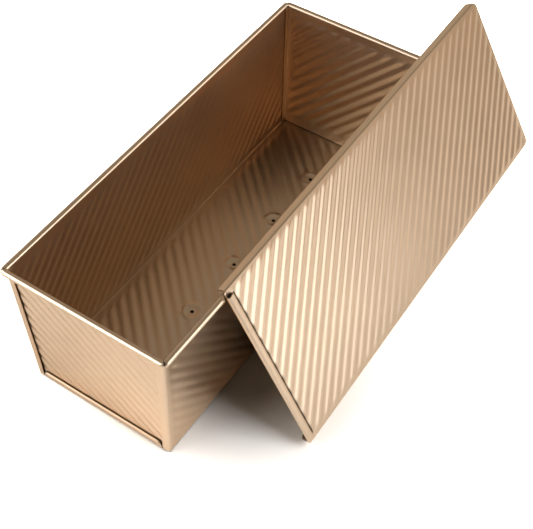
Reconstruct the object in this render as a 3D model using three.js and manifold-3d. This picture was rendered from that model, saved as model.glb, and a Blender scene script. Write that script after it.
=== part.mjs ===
// Corrugated pullman loaf pan with its sliding lid leaning on the right long rim.
// Millimetres, +Z up, X along the loaf, Y across it, the near end at -X.
import * as THREE from 'three';
import { ConvexGeometry } from 'three/addons/geometries/ConvexGeometry.js';
import { mergeVertices } from 'three/addons/utils/BufferGeometryUtils.js';
import Module from 'manifold-3d';

const wasm = await Module();
wasm.setup();

// Driving dimensions of the pan
const rimLength = 345;
const rimWidth = 135;
const panHeight = 119.2;
const baseLength = 327.5;
const baseWidth = 117.5;

// Sheet metal and rim wire
const sheet = 0.7;
const wireDiameter = 2.8;
const fitGap = 0.3;

// Corrugation: straight pressed grooves at 45 degrees, their flanks at 45 degrees too
const ribPitch = 8.2;
const ribDepth = 0.9;
const mouthShare = 0.56;
const ribMargin = 3.2;
const ribFade = 3;
const shortestRib = 3.3;
const cutAllowance = 0.3;
const panRibTurn = -1;
const lidRibTurn = 1;

// Where the first groove lies on each panel, as a share of the pitch
const grooveShares = { floor: 0.83, left: 0.56, right: 0.74, near: 0.5, far: 0.93, lid: 0.84 };

// Folds and the strips of the body sheet that frame each end panel
const foldRadius = 1.3;
const cornerRadius = 2.6;
const stripWidth = 5.8;
const lipHeight = 7.6;
const lipHemRadius = 0.9;
const reliefWidth = 0.8;
const slotDepth = 0.8;
const endFlange = 3.2;

// Air vents: shallow dishes with a punched hole, along the middle of the floor
const ventCount = 5;
const ventPitch = 56.25;
const ventHole = 3;
const dishDiameter = 15;
const dishFlat = 7;

// Lid
const lidOverhang = 11;
const lidPlay = 0.95;
const skirtDepth = 8.3;
const lidLip = 3.4;
const lidCornerRadius = 8;
const lidNearChamfer = 1.5;
const rollWidth = 6.6;
const rollHeight = 4.6;
const rollEndSetback = 4;

// How the lid leans: how far it is shifted along the pan, and its small turns
const lidShift = 65.5;
const lidRiseAngle = 0.69;
const lidYawAngle = 0.41;
const lidSteepestLean = 75;
const lidLowLean = 60;

// Steps on round stretches
const curlSteps = 13;
const cornerSteps = 3;
const sharpestCorner = 0.4;
const hemSides = 10;
const rollOuterSteps = 8;
const rollInnerSteps = 5;
const rollLastAngle = -20;
const sharpestMitre = 0.5;
const weldDistance = 1e-4;
const wireSides = 10;
const ventSides = 20;

// Worked out from the dimensions above
const beadRadius = wireDiameter / 2 + fitGap + sheet;
const rimLineX = rimLength / 2 - beadRadius;
const rimLineY = rimWidth / 2 - beadRadius;
const rimLineZ = panHeight - beadRadius;
const rimCornerRadius = beadRadius + fitGap;
const stripTop = rimLineZ - beadRadius - 2 * fitGap;
const wallTopHalf = rimLineY - beadRadius + sheet;
const endTopHalf = rimLineX - beadRadius + slotDepth + 2 * sheet;
const wallSlope = (wallTopHalf - baseWidth / 2) / rimLineZ;
const endSlope = (endTopHalf - baseLength / 2) / rimLineZ;
const panelInset = sheet + fitGap;
const panelEndInset = slotDepth - fitGap;
const flangeInset = panelInset + panelEndInset + sheet + endFlange;
const tailInset = sheet / 7;
const mouthHalf = ribPitch * mouthShare / 2;
const fadeRun = ribFade / ribDepth;
const lidLength = rimLength + lidOverhang;
const lidWidth = rimWidth + 2 * (lidPlay + sheet);
const lidNearX = lidShift - rimLength / 2;

function radians(degrees) {
  return degrees * Math.PI / 180;
}

function point(x, y) {
  return new THREE.Vector2(x, y);
}

// A closed geometry as a solid that can be joined and cut
function solidOf(geometry) {
  const bare = geometry.clone();
  bare.deleteAttribute('normal');
  bare.deleteAttribute('uv');
  const merged = mergeVertices(bare, weldDistance);
  const vertProperties = Float32Array.from(merged.attributes.position.array);
  const triVerts = Uint32Array.from(merged.index.array);
  return new wasm.Manifold(new wasm.Mesh({ numProp: 3, vertProperties, triVerts }));
}

function geometryOf(solid) {
  const mesh = solid.getMesh();
  const geometry = new THREE.BufferGeometry();
  geometry.setAttribute('position', new THREE.BufferAttribute(Float32Array.from(mesh.vertProperties), 3));
  geometry.setIndex(new THREE.BufferAttribute(Uint32Array.from(mesh.triVerts), 1));
  geometry.computeVertexNormals();
  return geometry;
}

function joinAll(solids) {
  return solids.reduce((whole, piece) => whole.add(piece));
}

function block(minX, maxX, minY, maxY, minZ, maxZ) {
  const box = new THREE.BoxGeometry(maxX - minX, maxY - minY, maxZ - minZ);
  box.translate((minX + maxX) / 2, (minY + maxY) / 2, (minZ + maxZ) / 2);
  return solidOf(box);
}

function hullOf(points) {
  return solidOf(new ConvexGeometry(points));
}

// A flat outline pulled up from one height to another
function prism(outline, minZ, maxZ) {
  const shape = new THREE.Shape(outline);
  const geometry = new THREE.ExtrudeGeometry(shape, { depth: maxZ - minZ, bevelEnabled: false });
  geometry.translate(0, 0, minZ);
  return solidOf(geometry);
}

// The outline of a bent sheet seen edge on, from its centre line
function ribbon(line, thickness) {
  const left = [];
  const right = [];
  line.forEach((here, i) => {
    const before = line[Math.max(i - 1, 0)];
    const after = line[Math.min(i + 1, line.length - 1)];
    const into = (i > 0 ? here.clone().sub(before) : after.clone().sub(here)).normalize();
    const out = (i < line.length - 1 ? after.clone().sub(here) : here.clone().sub(before)).normalize();
    const middle = into.clone().add(out).normalize();
    const reach = thickness / 2 / Math.max(middle.dot(into), sharpestMitre);
    left.push(point(here.x - middle.y * reach, here.y + middle.x * reach));
    right.push(point(here.x + middle.y * reach, here.y - middle.x * reach));
  });
  return left.concat(right.reverse());
}

function arcPoints(centreX, centreY, radius, fromDegrees, toDegrees, steps) {
  return Array.from({ length: steps + 1 }, (_, i) => {
    const angle = radians(fromDegrees + (toDegrees - fromDegrees) * i / steps);
    return point(centreX + radius * Math.cos(angle), centreY + radius * Math.sin(angle));
  });
}

// A run of straight and round stretches, each point of which is kept as one step of a sweep
class SteppedLine extends THREE.Curve {
  constructor(places, headings) {
    super();
    this.places = places;
    this.headings = headings;
  }

  getPoint(t) {
    return this.places[Math.round(t * (this.places.length - 1))].clone();
  }

  getPointAt(u) {
    return this.getPoint(u);
  }

  getTangentAt(u) {
    return this.headings[Math.round(u * (this.headings.length - 1))].clone();
  }
}

// A section, given as points outward and up, swept along a level line that turns left
function sweepLevel(section, turns, height) {
  const places = turns.map((turn) => new THREE.Vector3(turn.x, turn.y, height));
  const headings = turns.map((turn) => new THREE.Vector3(-Math.sin(turn.angle), Math.cos(turn.angle), 0));
  const path = new SteppedLine(places, headings);
  const shape = new THREE.Shape(section.map((p) => point(-p.y, -p.x)));
  const steps = places.length - 1;
  return solidOf(new THREE.ExtrudeGeometry(shape, { steps, extrudePath: path, bevelEnabled: false }));
}

// Points round one rim corner, from one outward angle to another, on a circle of the rim's corner radius
function cornerTurns(centreX, centreY, fromDegrees, toDegrees, steps) {
  const angleAt = (i) => radians(fromDegrees + (toDegrees - fromDegrees) * i / steps);
  return arcPoints(centreX, centreY, rimCornerRadius, fromDegrees, toDegrees, steps)
    .map((p, i) => ({ x: p.x, y: p.y, angle: angleAt(i) }));
}

// Rectangle with round corners, each corner the same small number of points
function roundedRectangle(halfX, halfY, radius) {
  const corners = [[1, 1, 0], [-1, 1, 90], [-1, -1, 180], [1, -1, 270]];
  return corners.flatMap(([signX, signY, from]) =>
    arcPoints(signX * (halfX - radius), signY * (halfY - radius), radius, from, from + 90, cornerSteps));
}

// The tapered tub bounded by the body sheet's outer faces, drawn in by a distance on every face
function tub(inset, extraEndInset, top) {
  const fold = foldRadius - inset;
  const levels = [0, 45, 90].map((degrees) => ({
    height: inset + fold * (1 - Math.cos(radians(degrees))),
    drawnIn: fold * (1 - Math.sin(radians(degrees))),
  }));
  levels.push({ height: top, drawnIn: 0 });
  return hullOf(levels.flatMap(({ height, drawnIn }) => {
    const halfX = baseLength / 2 + endSlope * height - inset - extraEndInset - drawnIn;
    const halfY = baseWidth / 2 + wallSlope * height - inset - drawnIn;
    const radius = Math.max(cornerRadius - inset - drawnIn, sharpestCorner);
    return roundedRectangle(halfX, halfY, radius).map((p) => new THREE.Vector3(p.x, p.y, height));
  }));
}

// Everything beyond a plane that lies parallel to one end face, a distance inside it
function endZone(end, distance, minZ, maxZ) {
  const corners = [minZ, maxZ].flatMap((z) => [baseLength / 2 + endSlope * z - distance, rimLength]
    .flatMap((x) => [-rimWidth, rimWidth].map((y) => new THREE.Vector3(end * x, y, z))));
  return hullOf(corners);
}

// Keep the part of a convex outline on the inner side of a line
function clip(outline, normalX, normalY, reach) {
  const kept = [];
  outline.forEach((here, i) => {
    const next = outline[(i + 1) % outline.length];
    const a = normalX * here.x + normalY * here.y - reach;
    const b = normalX * next.x + normalY * next.y - reach;
    if (a <= 0) kept.push(here);
    if (a * b < 0) kept.push(here.clone().lerp(next, a / (a - b)));
  });
  return kept;
}

// A convex outline that runs anticlockwise, drawn in by a distance on every edge
function drawIn(outline, distance) {
  return outline.reduce((kept, here, i) => {
    const next = outline[(i + 1) % outline.length];
    const edge = next.clone().sub(here).normalize();
    return clip(kept, edge.y, -edge.x, edge.y * here.x - edge.x * here.y - distance);
  }, outline);
}

// Levels of one pressed shape: depth below the outer face, half width there and distance from the outline
function grooveLevels() {
  return [-cutAllowance, ribDepth].map((depth) => ({
    depth,
    half: mouthHalf - depth,
    inset: ribMargin + fadeRun * depth,
  }));
}

function ridgeLevels() {
  const sideways = sheet * Math.SQRT2;
  const endways = sheet * Math.hypot(1, fadeRun);
  return [sheet / 2, sheet + ribDepth].map((depth) => ({
    depth,
    half: mouthHalf + sideways - depth,
    inset: ribMargin - endways + fadeRun * depth,
  }));
}

// The solids of every groove, or of every ridge behind the grooves, on one flat panel.
// The panel lies in x and y with its outer face at height 0 facing +Z.
function pressedShapes(outline, turn, share, levels) {
  const across = point(-turn, 1).normalize();
  const reaches = outline.map((p) => p.dot(across));
  const first = Math.floor(Math.min(...reaches) / ribPitch) - 1;
  const last = Math.ceil(Math.max(...reaches) / ribPitch) + 1;
  const shapes = [];
  for (let i = first; i <= last; i += 1) {
    const centre = (i + share) * ribPitch;
    const rings = levels.map(({ depth, half, inset }) => {
      const upper = clip(drawIn(outline, inset), across.x, across.y, centre + half);
      const band = clip(upper, -across.x, -across.y, half - centre);
      return band.map((p) => new THREE.Vector3(p.x, p.y, -depth));
    });
    const bottom = rings[1];
    const long = bottom.length > 2 && bottom.some((p) => p.distanceTo(bottom[0]) > shortestRib);
    if (long) shapes.push(hullOf(rings.flat()));
  }
  return joinAll(shapes);
}

function panelMatrix(origin, along, up) {
  const out = new THREE.Vector3().crossVectors(along, up);
  return new THREE.Matrix4().makeBasis(along, up, out).setPosition(origin);
}

function moved(solid, matrix) {
  return solid.transform(matrix.elements);
}

// Press grooves into one flat panel of a sheet: ridges behind are joined on and the grooves cut out
function press(solid, { matrix, outline, turn, share, ridgeStop, grooveStop }) {
  let ridges = pressedShapes(outline, turn, share, ridgeLevels());
  let grooves = pressedShapes(outline, turn, share, grooveLevels());
  if (ridgeStop) {
    ridges = ridges.subtract(ridgeStop);
    grooves = grooves.subtract(grooveStop);
  }
  return solid.add(moved(ridges, matrix)).subtract(moved(grooves, matrix));
}

// Rolled edge round the wire: up the inner side, over the top, down outside and back to the wall
function curlSection() {
  const hollow = beadRadius - sheet;
  const wallFace = hollow - fitGap;
  const endAngle = -180 + Math.acos(wallFace / beadRadius) * 180 / Math.PI;
  const outside = arcPoints(0, 0, beadRadius, 180, endAngle, curlSteps);
  const inside = arcPoints(0, 0, hollow, endAngle, 180, curlSteps);
  const innerTail = -hollow - tailInset;
  const outerTail = -beadRadius + tailInset;
  const tail = [point(innerTail, 0), point(innerTail, -sheet / 2),
    point(outerTail, -sheet / 2), point(outerTail, 0)];
  return outside.concat(inside, tail);
}

// The rim line of one side, seen from above and turning left: half a corner, the side, half a corner.
// A small angle is left at each end for the open slit between neighbouring curls.
function rimSide(side) {
  const slit = fitGap / rimCornerRadius * 180 / Math.PI;
  const cornerX = (degrees) => Math.sign(Math.cos(radians(degrees))) * (rimLineX - rimCornerRadius);
  const cornerY = (degrees) => Math.sign(Math.sin(radians(degrees))) * (rimLineY - rimCornerRadius);
  const [before, after] = [side - 45, side + 45];
  return cornerTurns(cornerX(before), cornerY(before), before + slit, side, cornerSteps)
    .concat(cornerTurns(cornerX(after), cornerY(after), side, after - slit, cornerSteps));
}

function rimCurl(side) {
  return sweepLevel(curlSection(), rimSide(side), rimLineZ);
}

// Body sheet: floor and both long walls in one piece, strips and lips at the ends, long rims rolled
function bodySheet() {
  const wide = rimLength;
  const high = panHeight;
  let body = tub(0, 0, rimLineZ).subtract(tub(sheet, 0, rimLineZ + sheet));
  const windowHalf = baseWidth / 2 - stripWidth;
  const windowTopHalf = windowHalf + wallSlope * high;
  [-1, 1].forEach((end) => {
    const inner = baseLength / 2 - cornerRadius - sheet;
    const outline = [point(-windowHalf, lipHeight), point(windowHalf, lipHeight),
      point(windowTopHalf, high), point(-windowTopHalf, high)];
    const turned = new THREE.Matrix4().makeBasis(new THREE.Vector3(0, 1, 0), new THREE.Vector3(0, 0, 1),
      new THREE.Vector3(1, 0, 0));
    const window = moved(prism(outline, 0, wide / 2), turned);
    const windowX = end > 0 ? inner : -inner - wide / 2;
    body = body.subtract(moved(window, new THREE.Matrix4().makeTranslation(windowX, 0, 0)));
    const wallEnd = rimLineX - rimCornerRadius;
    const [from, to] = end > 0 ? [wallEnd, wide] : [-wide, -wallEnd];
    body = body.subtract(block(from, to, -wide, wide, stripTop, high + sheet));
    [-1, 1].forEach((side) => {
      const edge = side * (windowHalf - reliefWidth / 2);
      const [start, stop] = end > 0 ? [inner, wide] : [-wide, -inner];
      body = body.subtract(block(start, stop, edge - reliefWidth / 2, edge + reliefWidth / 2,
        foldRadius + sheet, lipHeight + sheet));
    });
    body = body.add(lipHem(end, windowHalf - reliefWidth));
  });
  body = body.add(rimCurl(90)).add(rimCurl(-90));
  return pressBody(body);
}

// Round hem along the top of a lip
function lipHem(end, half) {
  const hem = new THREE.CylinderGeometry(lipHemRadius, lipHemRadius, 2 * half, hemSides);
  const height = lipHeight - lipHemRadius / 2;
  const x = baseLength / 2 + endSlope * height - sheet / 2;
  hem.translate(end * x, 0, height);
  return solidOf(hem);
}

// Floor and long walls get their corrugation, and the floor its vents
function pressBody(body) {
  const right = new THREE.Vector3(1, 0, 0);
  const floorOutline = [point(-baseLength / 2, -baseWidth / 2), point(baseLength / 2, -baseWidth / 2),
    point(baseLength / 2, baseWidth / 2), point(-baseLength / 2, baseWidth / 2)];
  const floor = { matrix: panelMatrix(new THREE.Vector3(), right, new THREE.Vector3(0, -1, 0)),
    outline: drawIn(floorOutline, foldRadius), turn: panRibTurn, share: grooveShares.floor, ...dishCones() };
  let pressed = press(body, floor);
  const wallHeight = Math.hypot(1, wallSlope) * (rimLineZ - beadRadius);
  const bottomX = baseLength / 2 - flangeInset - fitGap + ribMargin;
  const topX = bottomX + endSlope * wallHeight;
  const wallOutline = [point(-bottomX, foldRadius), point(bottomX, foldRadius),
    point(topX, wallHeight), point(-topX, wallHeight)];
  [['left', 1], ['right', -1]].forEach(([name, side]) => {
    const up = new THREE.Vector3(0, side * wallSlope, 1).normalize();
    const along = new THREE.Vector3(-side, 0, 0);
    const matrix = panelMatrix(new THREE.Vector3(0, side * baseWidth / 2, 0), along, up);
    pressed = press(pressed, { matrix, outline: wallOutline, turn: panRibTurn, share: grooveShares[name] });
  });
  return pressed.subtract(ventHoles());
}

function ventPlaces() {
  return Array.from({ length: ventCount }, (_, i) => (i - (ventCount - 1) / 2) * ventPitch);
}

// A dish's conical wall as a solid that the grooves, or the ridges behind them, stop at
function dishCone(x, fromDepth, toDepth, radiusAt) {
  const height = toDepth - fromDepth;
  const cone = new THREE.CylinderGeometry(radiusAt(fromDepth), radiusAt(toDepth), height, ventSides);
  cone.rotateX(Math.PI / 2);
  cone.translate(x, 0, -(fromDepth + toDepth) / 2);
  return solidOf(cone);
}

function dishCones() {
  const run = (dishDiameter - dishFlat) / 2 / ribDepth;
  const insideAt = (depth) => dishFlat / 2 + (depth - sheet) * run;
  const outsideAt = (depth) => insideAt(depth) + sheet * Math.hypot(1, run);
  return {
    ridgeStop: joinAll(ventPlaces().map((x) => dishCone(x, sheet / 4, 2 * sheet + ribDepth, insideAt))),
    grooveStop: joinAll(ventPlaces().map((x) => dishCone(x, -sheet / 2, sheet + ribDepth, outsideAt))),
  };
}

function ventHoles() {
  return joinAll(ventPlaces().map((x) => {
    const hole = new THREE.CylinderGeometry(ventHole / 2, ventHole / 2, 4 * sheet, ventSides);
    hole.rotateX(Math.PI / 2);
    hole.translate(x, 0, 0);
    return solidOf(hole);
  }));
}

// End panel: a separate sheet behind the strips, its sides folded back along the long walls
function endPanel(end) {
  const tray = tub(panelInset, panelEndInset, rimLineZ)
    .subtract(tub(panelInset + sheet, panelEndInset, rimLineZ + sheet));
  const bottom = sheet + foldRadius / 2;
  const folded = tray.intersect(endZone(end, flangeInset, bottom, rimLineZ));
  const faceAtBottom = baseLength / 2 - panelInset - panelEndInset;
  const up = new THREE.Vector3(end * endSlope, 0, 1).normalize();
  const along = new THREE.Vector3(0, end, 0);
  const matrix = panelMatrix(new THREE.Vector3(end * faceAtBottom, 0, 0), along, up);
  const topHeight = (rimLineZ - beadRadius) * Math.hypot(1, endSlope);
  const bottomHalf = baseWidth / 2 - panelInset;
  const topHalf = bottomHalf + wallSlope * topHeight;
  const ribsFrom = lipHeight - ribMargin / 2;
  const outline = [point(-bottomHalf, ribsFrom), point(bottomHalf, ribsFrom),
    point(topHalf, topHeight), point(-topHalf, topHeight)];
  const share = end > 0 ? grooveShares.far : grooveShares.near;
  return press(folded.add(rimCurl(end > 0 ? 0 : 180)), { matrix, outline, turn: panRibTurn, share });
}

// Rim wire: one rod bent round all four sides, its butt joint in the left long side
function rimWire() {
  const circle = arcPoints(0, 0, wireDiameter / 2, 0, 360 - 360 / wireSides, wireSides - 1);
  const halfX = rimLineX - rimCornerRadius;
  const halfY = rimLineY - rimCornerRadius;
  const steps = 2 * cornerSteps;
  const corners = [[-1, 1, 90], [-1, -1, 180], [1, -1, 270], [1, 1, 360]];
  const turns = corners.flatMap(([signX, signY, from]) =>
    cornerTurns(signX * halfX, signY * halfY, from, from + 90, steps));
  const butt = { y: rimLineY, angle: radians(90) };
  turns.unshift({ x: -fitGap / 2, ...butt });
  turns.push({ x: fitGap / 2, ...butt });
  return sweepLevel(circle, turns, rimLineZ);
}

// The lid's outline in its own plane, drawn in by a distance: near edge at x = 0, lower long edge at y = 0
function lidOutline(inset, nearX) {
  const radius = lidCornerRadius - inset;
  const farX = lidLength - lidCornerRadius;
  return [point(nearX, inset),
    ...arcPoints(farX, lidCornerRadius, radius, 270, 360, cornerSteps),
    ...arcPoints(farX, lidWidth - lidCornerRadius, radius, 0, 90, cornerSteps),
    point(nearX, lidWidth - inset)];
}

// The block of space inside the lid's outer faces, drawn in by a distance, its top edge folded round
function lidForm(inset, depth) {
  const fold = foldRadius - inset;
  const levels = [0, 45, 90].map((degrees) => ({
    height: -inset - fold * (1 - Math.cos(radians(degrees))),
    drawnIn: inset + fold * (1 - Math.sin(radians(degrees))),
  }));
  levels.push({ height: -depth, drawnIn: inset });
  return hullOf(levels.flatMap(({ height, drawnIn }) =>
    lidOutline(drawnIn, rollHeight / 2 - inset).map((p) => new THREE.Vector3(p.x, p.y, height))));
}

// Lid: corrugated panel, skirt down three sides, long lips that run under the rims, near end rolled up
function lidSheet() {
  const form = lidForm(0, skirtDepth);
  let lid = form.subtract(lidForm(sheet, skirtDepth + sheet));
  [0, lidWidth - lidLip].forEach((start) => {
    const lipEnd = lidLength - lidCornerRadius;
    const lip = block(0, lipEnd, start, start + lidLip, -skirtDepth, sheet - skirtDepth);
    lid = lid.add(lip.intersect(form));
  });
  const reach = rollHeight / 2 + lidNearChamfer;
  const lower = [point(0, -sheet), point(reach, -sheet), point(0, reach)];
  const upper = lower.map((p) => point(p.x, lidWidth - p.y)).reverse();
  [lower, upper].forEach((corner) => {
    lid = lid.subtract(prism(corner, -foldRadius, sheet));
  });
  lid = lid.add(lidRoll());
  const outline = lidOutline(foldRadius, rollWidth);
  const underside = panelMatrix(new THREE.Vector3(0, lidWidth, -sheet), new THREE.Vector3(1, 0, 0),
    new THREE.Vector3(0, -1, 0));
  return press(lid, { matrix: underside, outline, turn: -lidRibTurn, share: grooveShares.lid });
}

// The near end's hollow roll: the sheet turns up and back, and its cut edge comes down on the panel
function lidRoll() {
  const radius = rollHeight / 2 - sheet / 2;
  const centreY = rollHeight / 2 - sheet;
  const left = rollHeight / 2;
  const right = rollWidth - rollHeight / 2;
  const line = [point(rollWidth + sheet, -sheet / 2)].concat(
    arcPoints(left, centreY, radius, 270, 90, rollOuterSteps),
    arcPoints(right, centreY, radius, 90, rollLastAngle, rollInnerSteps));
  const shape = new THREE.Shape(ribbon(line, sheet));
  const depth = lidWidth - 2 * rollEndSetback;
  const geometry = new THREE.ExtrudeGeometry(shape, { depth, bevelEnabled: false });
  geometry.rotateX(Math.PI / 2);
  geometry.translate(0, lidWidth - rollEndSetback, 0);
  return solidOf(geometry);
}

// The leaning lid: its near lower lip stands on the table, its upper lip clears the far rim,
// and its panel touches the right long rim. A lid too narrow for that leans its upper edge
// against the wall instead.
function placeLid(group) {
  const run = rimLineX - lidNearX;
  const rise = Math.sin(radians(lidRiseAngle)) * run;
  const steepness = (panHeight + fitGap - rise) / (lidWidth - lidLip);
  const reachesOver = steepness < Math.sin(radians(lidSteepestLean));
  const lean = reachesOver ? Math.asin(steepness) : radians(lidLowLean);
  const beadDepth = skirtDepth - sheet - fitGap - beadRadius;
  const footUnderRim = -rimLineY + (beadDepth - Math.cos(lean) * rimLineZ) / Math.sin(lean);
  const edgeHeight = Math.sin(lean) * lidWidth;
  const edgeReach = Math.cos(lean) * lidWidth + Math.tan(radians(lidYawAngle)) * run;
  const footByWall = -baseWidth / 2 - wallSlope * edgeHeight - edgeReach - fitGap;
  group.rotation.set(lean, -radians(lidRiseAngle), radians(lidYawAngle), 'YZX');
  group.position.set(lidNearX, reachesOver ? footUnderRim : footByWall, 0);
}

const satin = { roughness: 0.38, metalness: 0.55 };
const coating = (color) => new THREE.MeshStandardMaterial({ color, ...satin });

function named(name, solid, material) {
  const mesh = new THREE.Mesh(geometryOf(solid), material);
  mesh.name = name;
  return mesh;
}

const pan = new THREE.Group();
pan.add(named('pan_body_sheet', bodySheet(), coating(0xc9a27c)));
pan.add(named('near_end_panel', endPanel(-1), coating(0xd6b491)));
pan.add(named('far_end_panel', endPanel(1), coating(0xb58d68)));
const steel = new THREE.MeshStandardMaterial({ color: 0xb9b6b0, roughness: 0.35, metalness: 0.9 });
pan.add(named('rim_wire', rimWire(), steel));

const lidGroup = new THREE.Group();
const lidMesh = named('sliding_lid', lidSheet(), coating(0xe6c8a6));
lidMesh.position.z = skirtDepth;
lidGroup.add(lidMesh);
placeLid(lidGroup);

// The whole stands on z = 0 with the middle of its footprint at the origin
const model = new THREE.Group();
model.add(pan, lidGroup);
model.updateMatrixWorld(true);
const middle = new THREE.Box3().setFromObject(model, true).getCenter(new THREE.Vector3());
model.position.set(-middle.x, -middle.y, 0);

export default model;
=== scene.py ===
# %% [markdown]
# # A corrugated loaf pan with its lid
# The pan is folded from coated steel sheet 0.7 mm thick. One sheet is the floor and both long
# walls, one more closes each end, and a wire lies in the rolled rims. The lid is a sheet of its
# own, and here it leans open on the right rim. All six panels carry pressed ribs at 45 degrees.
#
# The CAD model gives every size and place, but it is made of flat faces. A bevel can't turn
# those into soft pressed waves, so this script draws each sheet again from the same sizes, in
# the same place. The wire is right as it is and only gets its finish.

# %% Load the frame
import math

import bmesh
import bpy
from mathutils import Matrix, Vector


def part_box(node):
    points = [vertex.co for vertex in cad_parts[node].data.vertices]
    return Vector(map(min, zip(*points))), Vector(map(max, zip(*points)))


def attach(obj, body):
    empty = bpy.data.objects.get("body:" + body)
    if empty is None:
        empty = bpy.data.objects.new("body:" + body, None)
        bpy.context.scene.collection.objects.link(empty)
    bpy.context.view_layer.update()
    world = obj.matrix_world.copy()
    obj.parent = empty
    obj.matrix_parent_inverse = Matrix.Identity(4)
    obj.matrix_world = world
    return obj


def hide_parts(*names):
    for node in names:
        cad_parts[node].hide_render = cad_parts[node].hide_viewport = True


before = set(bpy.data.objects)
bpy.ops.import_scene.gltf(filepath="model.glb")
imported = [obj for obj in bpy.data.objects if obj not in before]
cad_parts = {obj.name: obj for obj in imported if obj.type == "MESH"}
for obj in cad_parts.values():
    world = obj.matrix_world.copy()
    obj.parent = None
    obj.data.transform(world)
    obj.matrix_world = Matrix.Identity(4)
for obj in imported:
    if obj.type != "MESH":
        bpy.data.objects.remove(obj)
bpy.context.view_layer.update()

# %% [markdown]
# ## The pan's own frame
# The model stands with the middle of its whole box at the origin, and the leaning lid moves that
# middle away from the pan. A pan is easier to draw round its own middle, so every size below is
# in millimetres in the pan's frame: the middle of the base at the origin, X along the pan with
# the near end at -X, Y across it and Z up. Each object could be moved into place afterwards, but
# one function that turns a point into metres leaves every object at the origin, where the frame
# expects it.

# %% The pan's frame
MM = 0.001
pan_low, pan_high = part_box("pan_body_sheet")
PAN_SHIFT = Vector(((pan_low.x + pan_high.x) / 2, (pan_low.y + pan_high.y) / 2, 0.0)) / MM


def to_metres(point):
    """From millimetres in the pan's frame to metres in the object's frame."""
    return (Vector(point) + PAN_SHIFT) * MM


print("the pan's middle stands at", [round(value, 2) for value in PAN_SHIFT], "mm")

# %% [markdown]
# ## Camera
# The view is from above and in front of the near end, with a fairly long lens. A camera can be
# placed by eye, but the long straight edges of a pan run to clear vanishing points, and those
# give the direction, the focal length and the shift of the lens. So the camera is plain numbers
# here. The focal length comes in pixels and becomes a lens for a 36 mm sensor.

# %% Camera
IMAGE_WIDTH = 533
FOCAL_PIXELS = 1141.44
SHIFT_RIGHT, SHIFT_UP = 37.1, -26.5
SENSOR = 36.0
CAMERA_PLACE = Vector((-474.4, -322.3, 683.6))
CAMERA_BACK = Vector((-0.5442, -0.3749, 0.7506))


def aim(thing, direction):
    """Turn a camera or a lamp so that it looks along a direction."""
    thing.rotation_mode = "QUATERNION"
    thing.rotation_quaternion = direction.to_track_quat("-Z", "Y")


camera_data = bpy.data.cameras.new("studio_camera")
camera_data.sensor_width = SENSOR
camera_data.lens = FOCAL_PIXELS * SENSOR / IMAGE_WIDTH
camera_data.shift_x = SHIFT_RIGHT / IMAGE_WIDTH
camera_data.shift_y = SHIFT_UP / IMAGE_WIDTH
camera = bpy.data.objects.new("studio_camera", camera_data)
camera.location = to_metres(CAMERA_PLACE)
aim(camera, -CAMERA_BACK)
bpy.context.collection.objects.link(camera)
bpy.context.scene.camera = camera
print("lens", round(camera_data.lens, 1), "mm")

# %% [markdown]
# ## Sizes
# These are the real pan's driving sizes, the same as in the CAD model. FOLD is the outer radius
# of the folds round the floor, and CORNER that of the upright corners. GAP is the play between
# two sheets that lie on each other, and BEAD the outer radius of a rim rolled round the wire.
# SLOT is the free space between an end panel and the strips that cover its edges. The walls lean
# outward a little so that pans stack, so a half width or length depends on the height. The sizes
# could all stand here in one long list, but those of one piece are easier to follow beside it.

# %% Sizes
RIM_LENGTH, RIM_WIDTH, PAN_HEIGHT = 345.0, 135.0, 119.2
BASE_LENGTH, BASE_WIDTH = 327.5, 117.5
SHEET, WIRE, GAP = 0.7, 2.8, 0.3
FOLD, CORNER = 1.3, 2.6
SLOT = 0.8

HALF = SHEET / 2
BEAD = WIRE / 2 + GAP + SHEET
RIM_X, RIM_Y, RIM_Z = RIM_LENGTH / 2 - BEAD, RIM_WIDTH / 2 - BEAD, PAN_HEIGHT - BEAD
RIM_CORNER = BEAD + GAP
WALL_SLOPE = (RIM_Y - BEAD + SHEET - BASE_WIDTH / 2) / RIM_Z
END_SLOPE = (RIM_X - BEAD + SLOT + 2 * SHEET - BASE_LENGTH / 2) / RIM_Z


def outer_y(z):
    """Half the width between the long walls' outer faces at one height."""
    return BASE_WIDTH / 2 + WALL_SLOPE * z


def outer_x(z):
    """Half the length between the end strips' outer faces at one height."""
    return BASE_LENGTH / 2 + END_SLOPE * z


print("rolled rim", round(2 * BEAD, 2), "mm thick, long walls lean",
      round(math.degrees(math.atan(WALL_SLOPE)), 1), "degrees")

# %% [markdown]
# ## Pressed ribs
# The ribs stiffen the thin sheet and let air under what is baked. A press squeezes the sheet
# between two waved tools, so a rib is a soft wave and not a sharp groove, and it dies out before
# every fold. A bump map would be cheap, but the edges and the mirrored light would stay flat, so
# the ribs are real height. One cosine gives them for all panels. PHASES shifts it until each
# panel's ribs start where they do on the real pan, and SHARES makes some panels shallower.
# MARGIN is the plain strip beside a fold, and FADE the width in which the ribs grow to their
# full depth.

# %% Rib wave
PITCH, DEPTH = 8.2, 0.9
MARGIN, FADE = 2.8, 4.0
SHARES = {"floor": 0.72, "left": 1.0, "right": 0.55, "near": 0.65, "far": 0.78, "lid": 0.97}
PHASES = {"floor": 0.83, "left": 0.56, "right": 0.74, "near": 0.5, "far": 0.93, "lid": 0.84}


def smooth(value):
    """0 below 0, 1 above 1, and a soft turn between."""
    t = min(max(value, 0.0), 1.0)
    return t * t * (3 - 2 * t)


def rib_depth(across, edge_distance, panel):
    """How deep the press goes, at a distance across the ribs and one from the panel's edge."""
    wave = 0.5 + 0.5 * math.cos(2 * math.pi * (across / PITCH - PHASES[panel]))
    return DEPTH * SHARES[panel] * wave * smooth((edge_distance - MARGIN) / FADE)


def across_ribs(along, up):
    """The distance at right angles to ribs that slant at 45 degrees."""
    return (along + up) / math.sqrt(2)


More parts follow.
